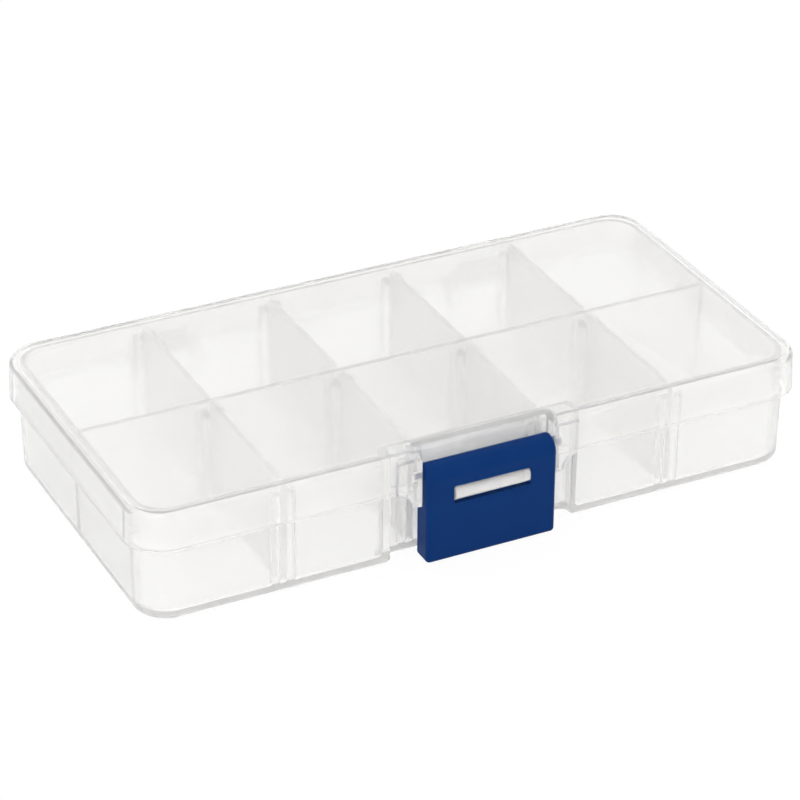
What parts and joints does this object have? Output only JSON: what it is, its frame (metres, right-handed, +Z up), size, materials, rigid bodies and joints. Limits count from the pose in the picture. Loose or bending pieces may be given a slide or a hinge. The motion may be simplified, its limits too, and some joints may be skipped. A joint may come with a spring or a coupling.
{
  "type": "compartment storage box",
  "caption": "Flat clear plastic storage box with loose dividers in two rows, a snap-hinged lid with a skirt and a pivoting latch at the front.",
  "frame": {"origin": "middle of the tray's flat underside", "axes": "+X along the box, +Z up, -Y towards the latch"},
  "size_m": [0.128, 0.0707, 0.022],
  "materials": {
    "clear_plastic": "gloss",
    "latch_plastic": "satin"
  },
  "bodies": {
    "base": {"base_tray": "clear_plastic", "divider_front_1": "clear_plastic", "divider_front_2": "clear_plastic", "divider_front_3": "clear_plastic", "divider_front_4": "clear_plastic", "divider_back_1": "clear_plastic", "divider_back_2": "clear_plastic", "divider_back_3": "clear_plastic", "divider_back_4": "clear_plastic"},
    "lid": {"lid": "clear_plastic"},
    "latch": {"latch": "latch_plastic"}
  },
  "joints": [
    {"name": "lid_hinge", "type": "hinge", "parent": "base", "child": "lid", "pos_m": [0, 0.0339, 0.0134], "axis": [-1, 0, 0], "range_deg": [0, 180]},
    {"name": "latch_pivot", "type": "hinge", "parent": "lid", "child": "latch", "pos_m": [0, -0.0319, 0.01735], "axis": [-1, 0, 0], "range_deg": [0, 110]}
  ]
}
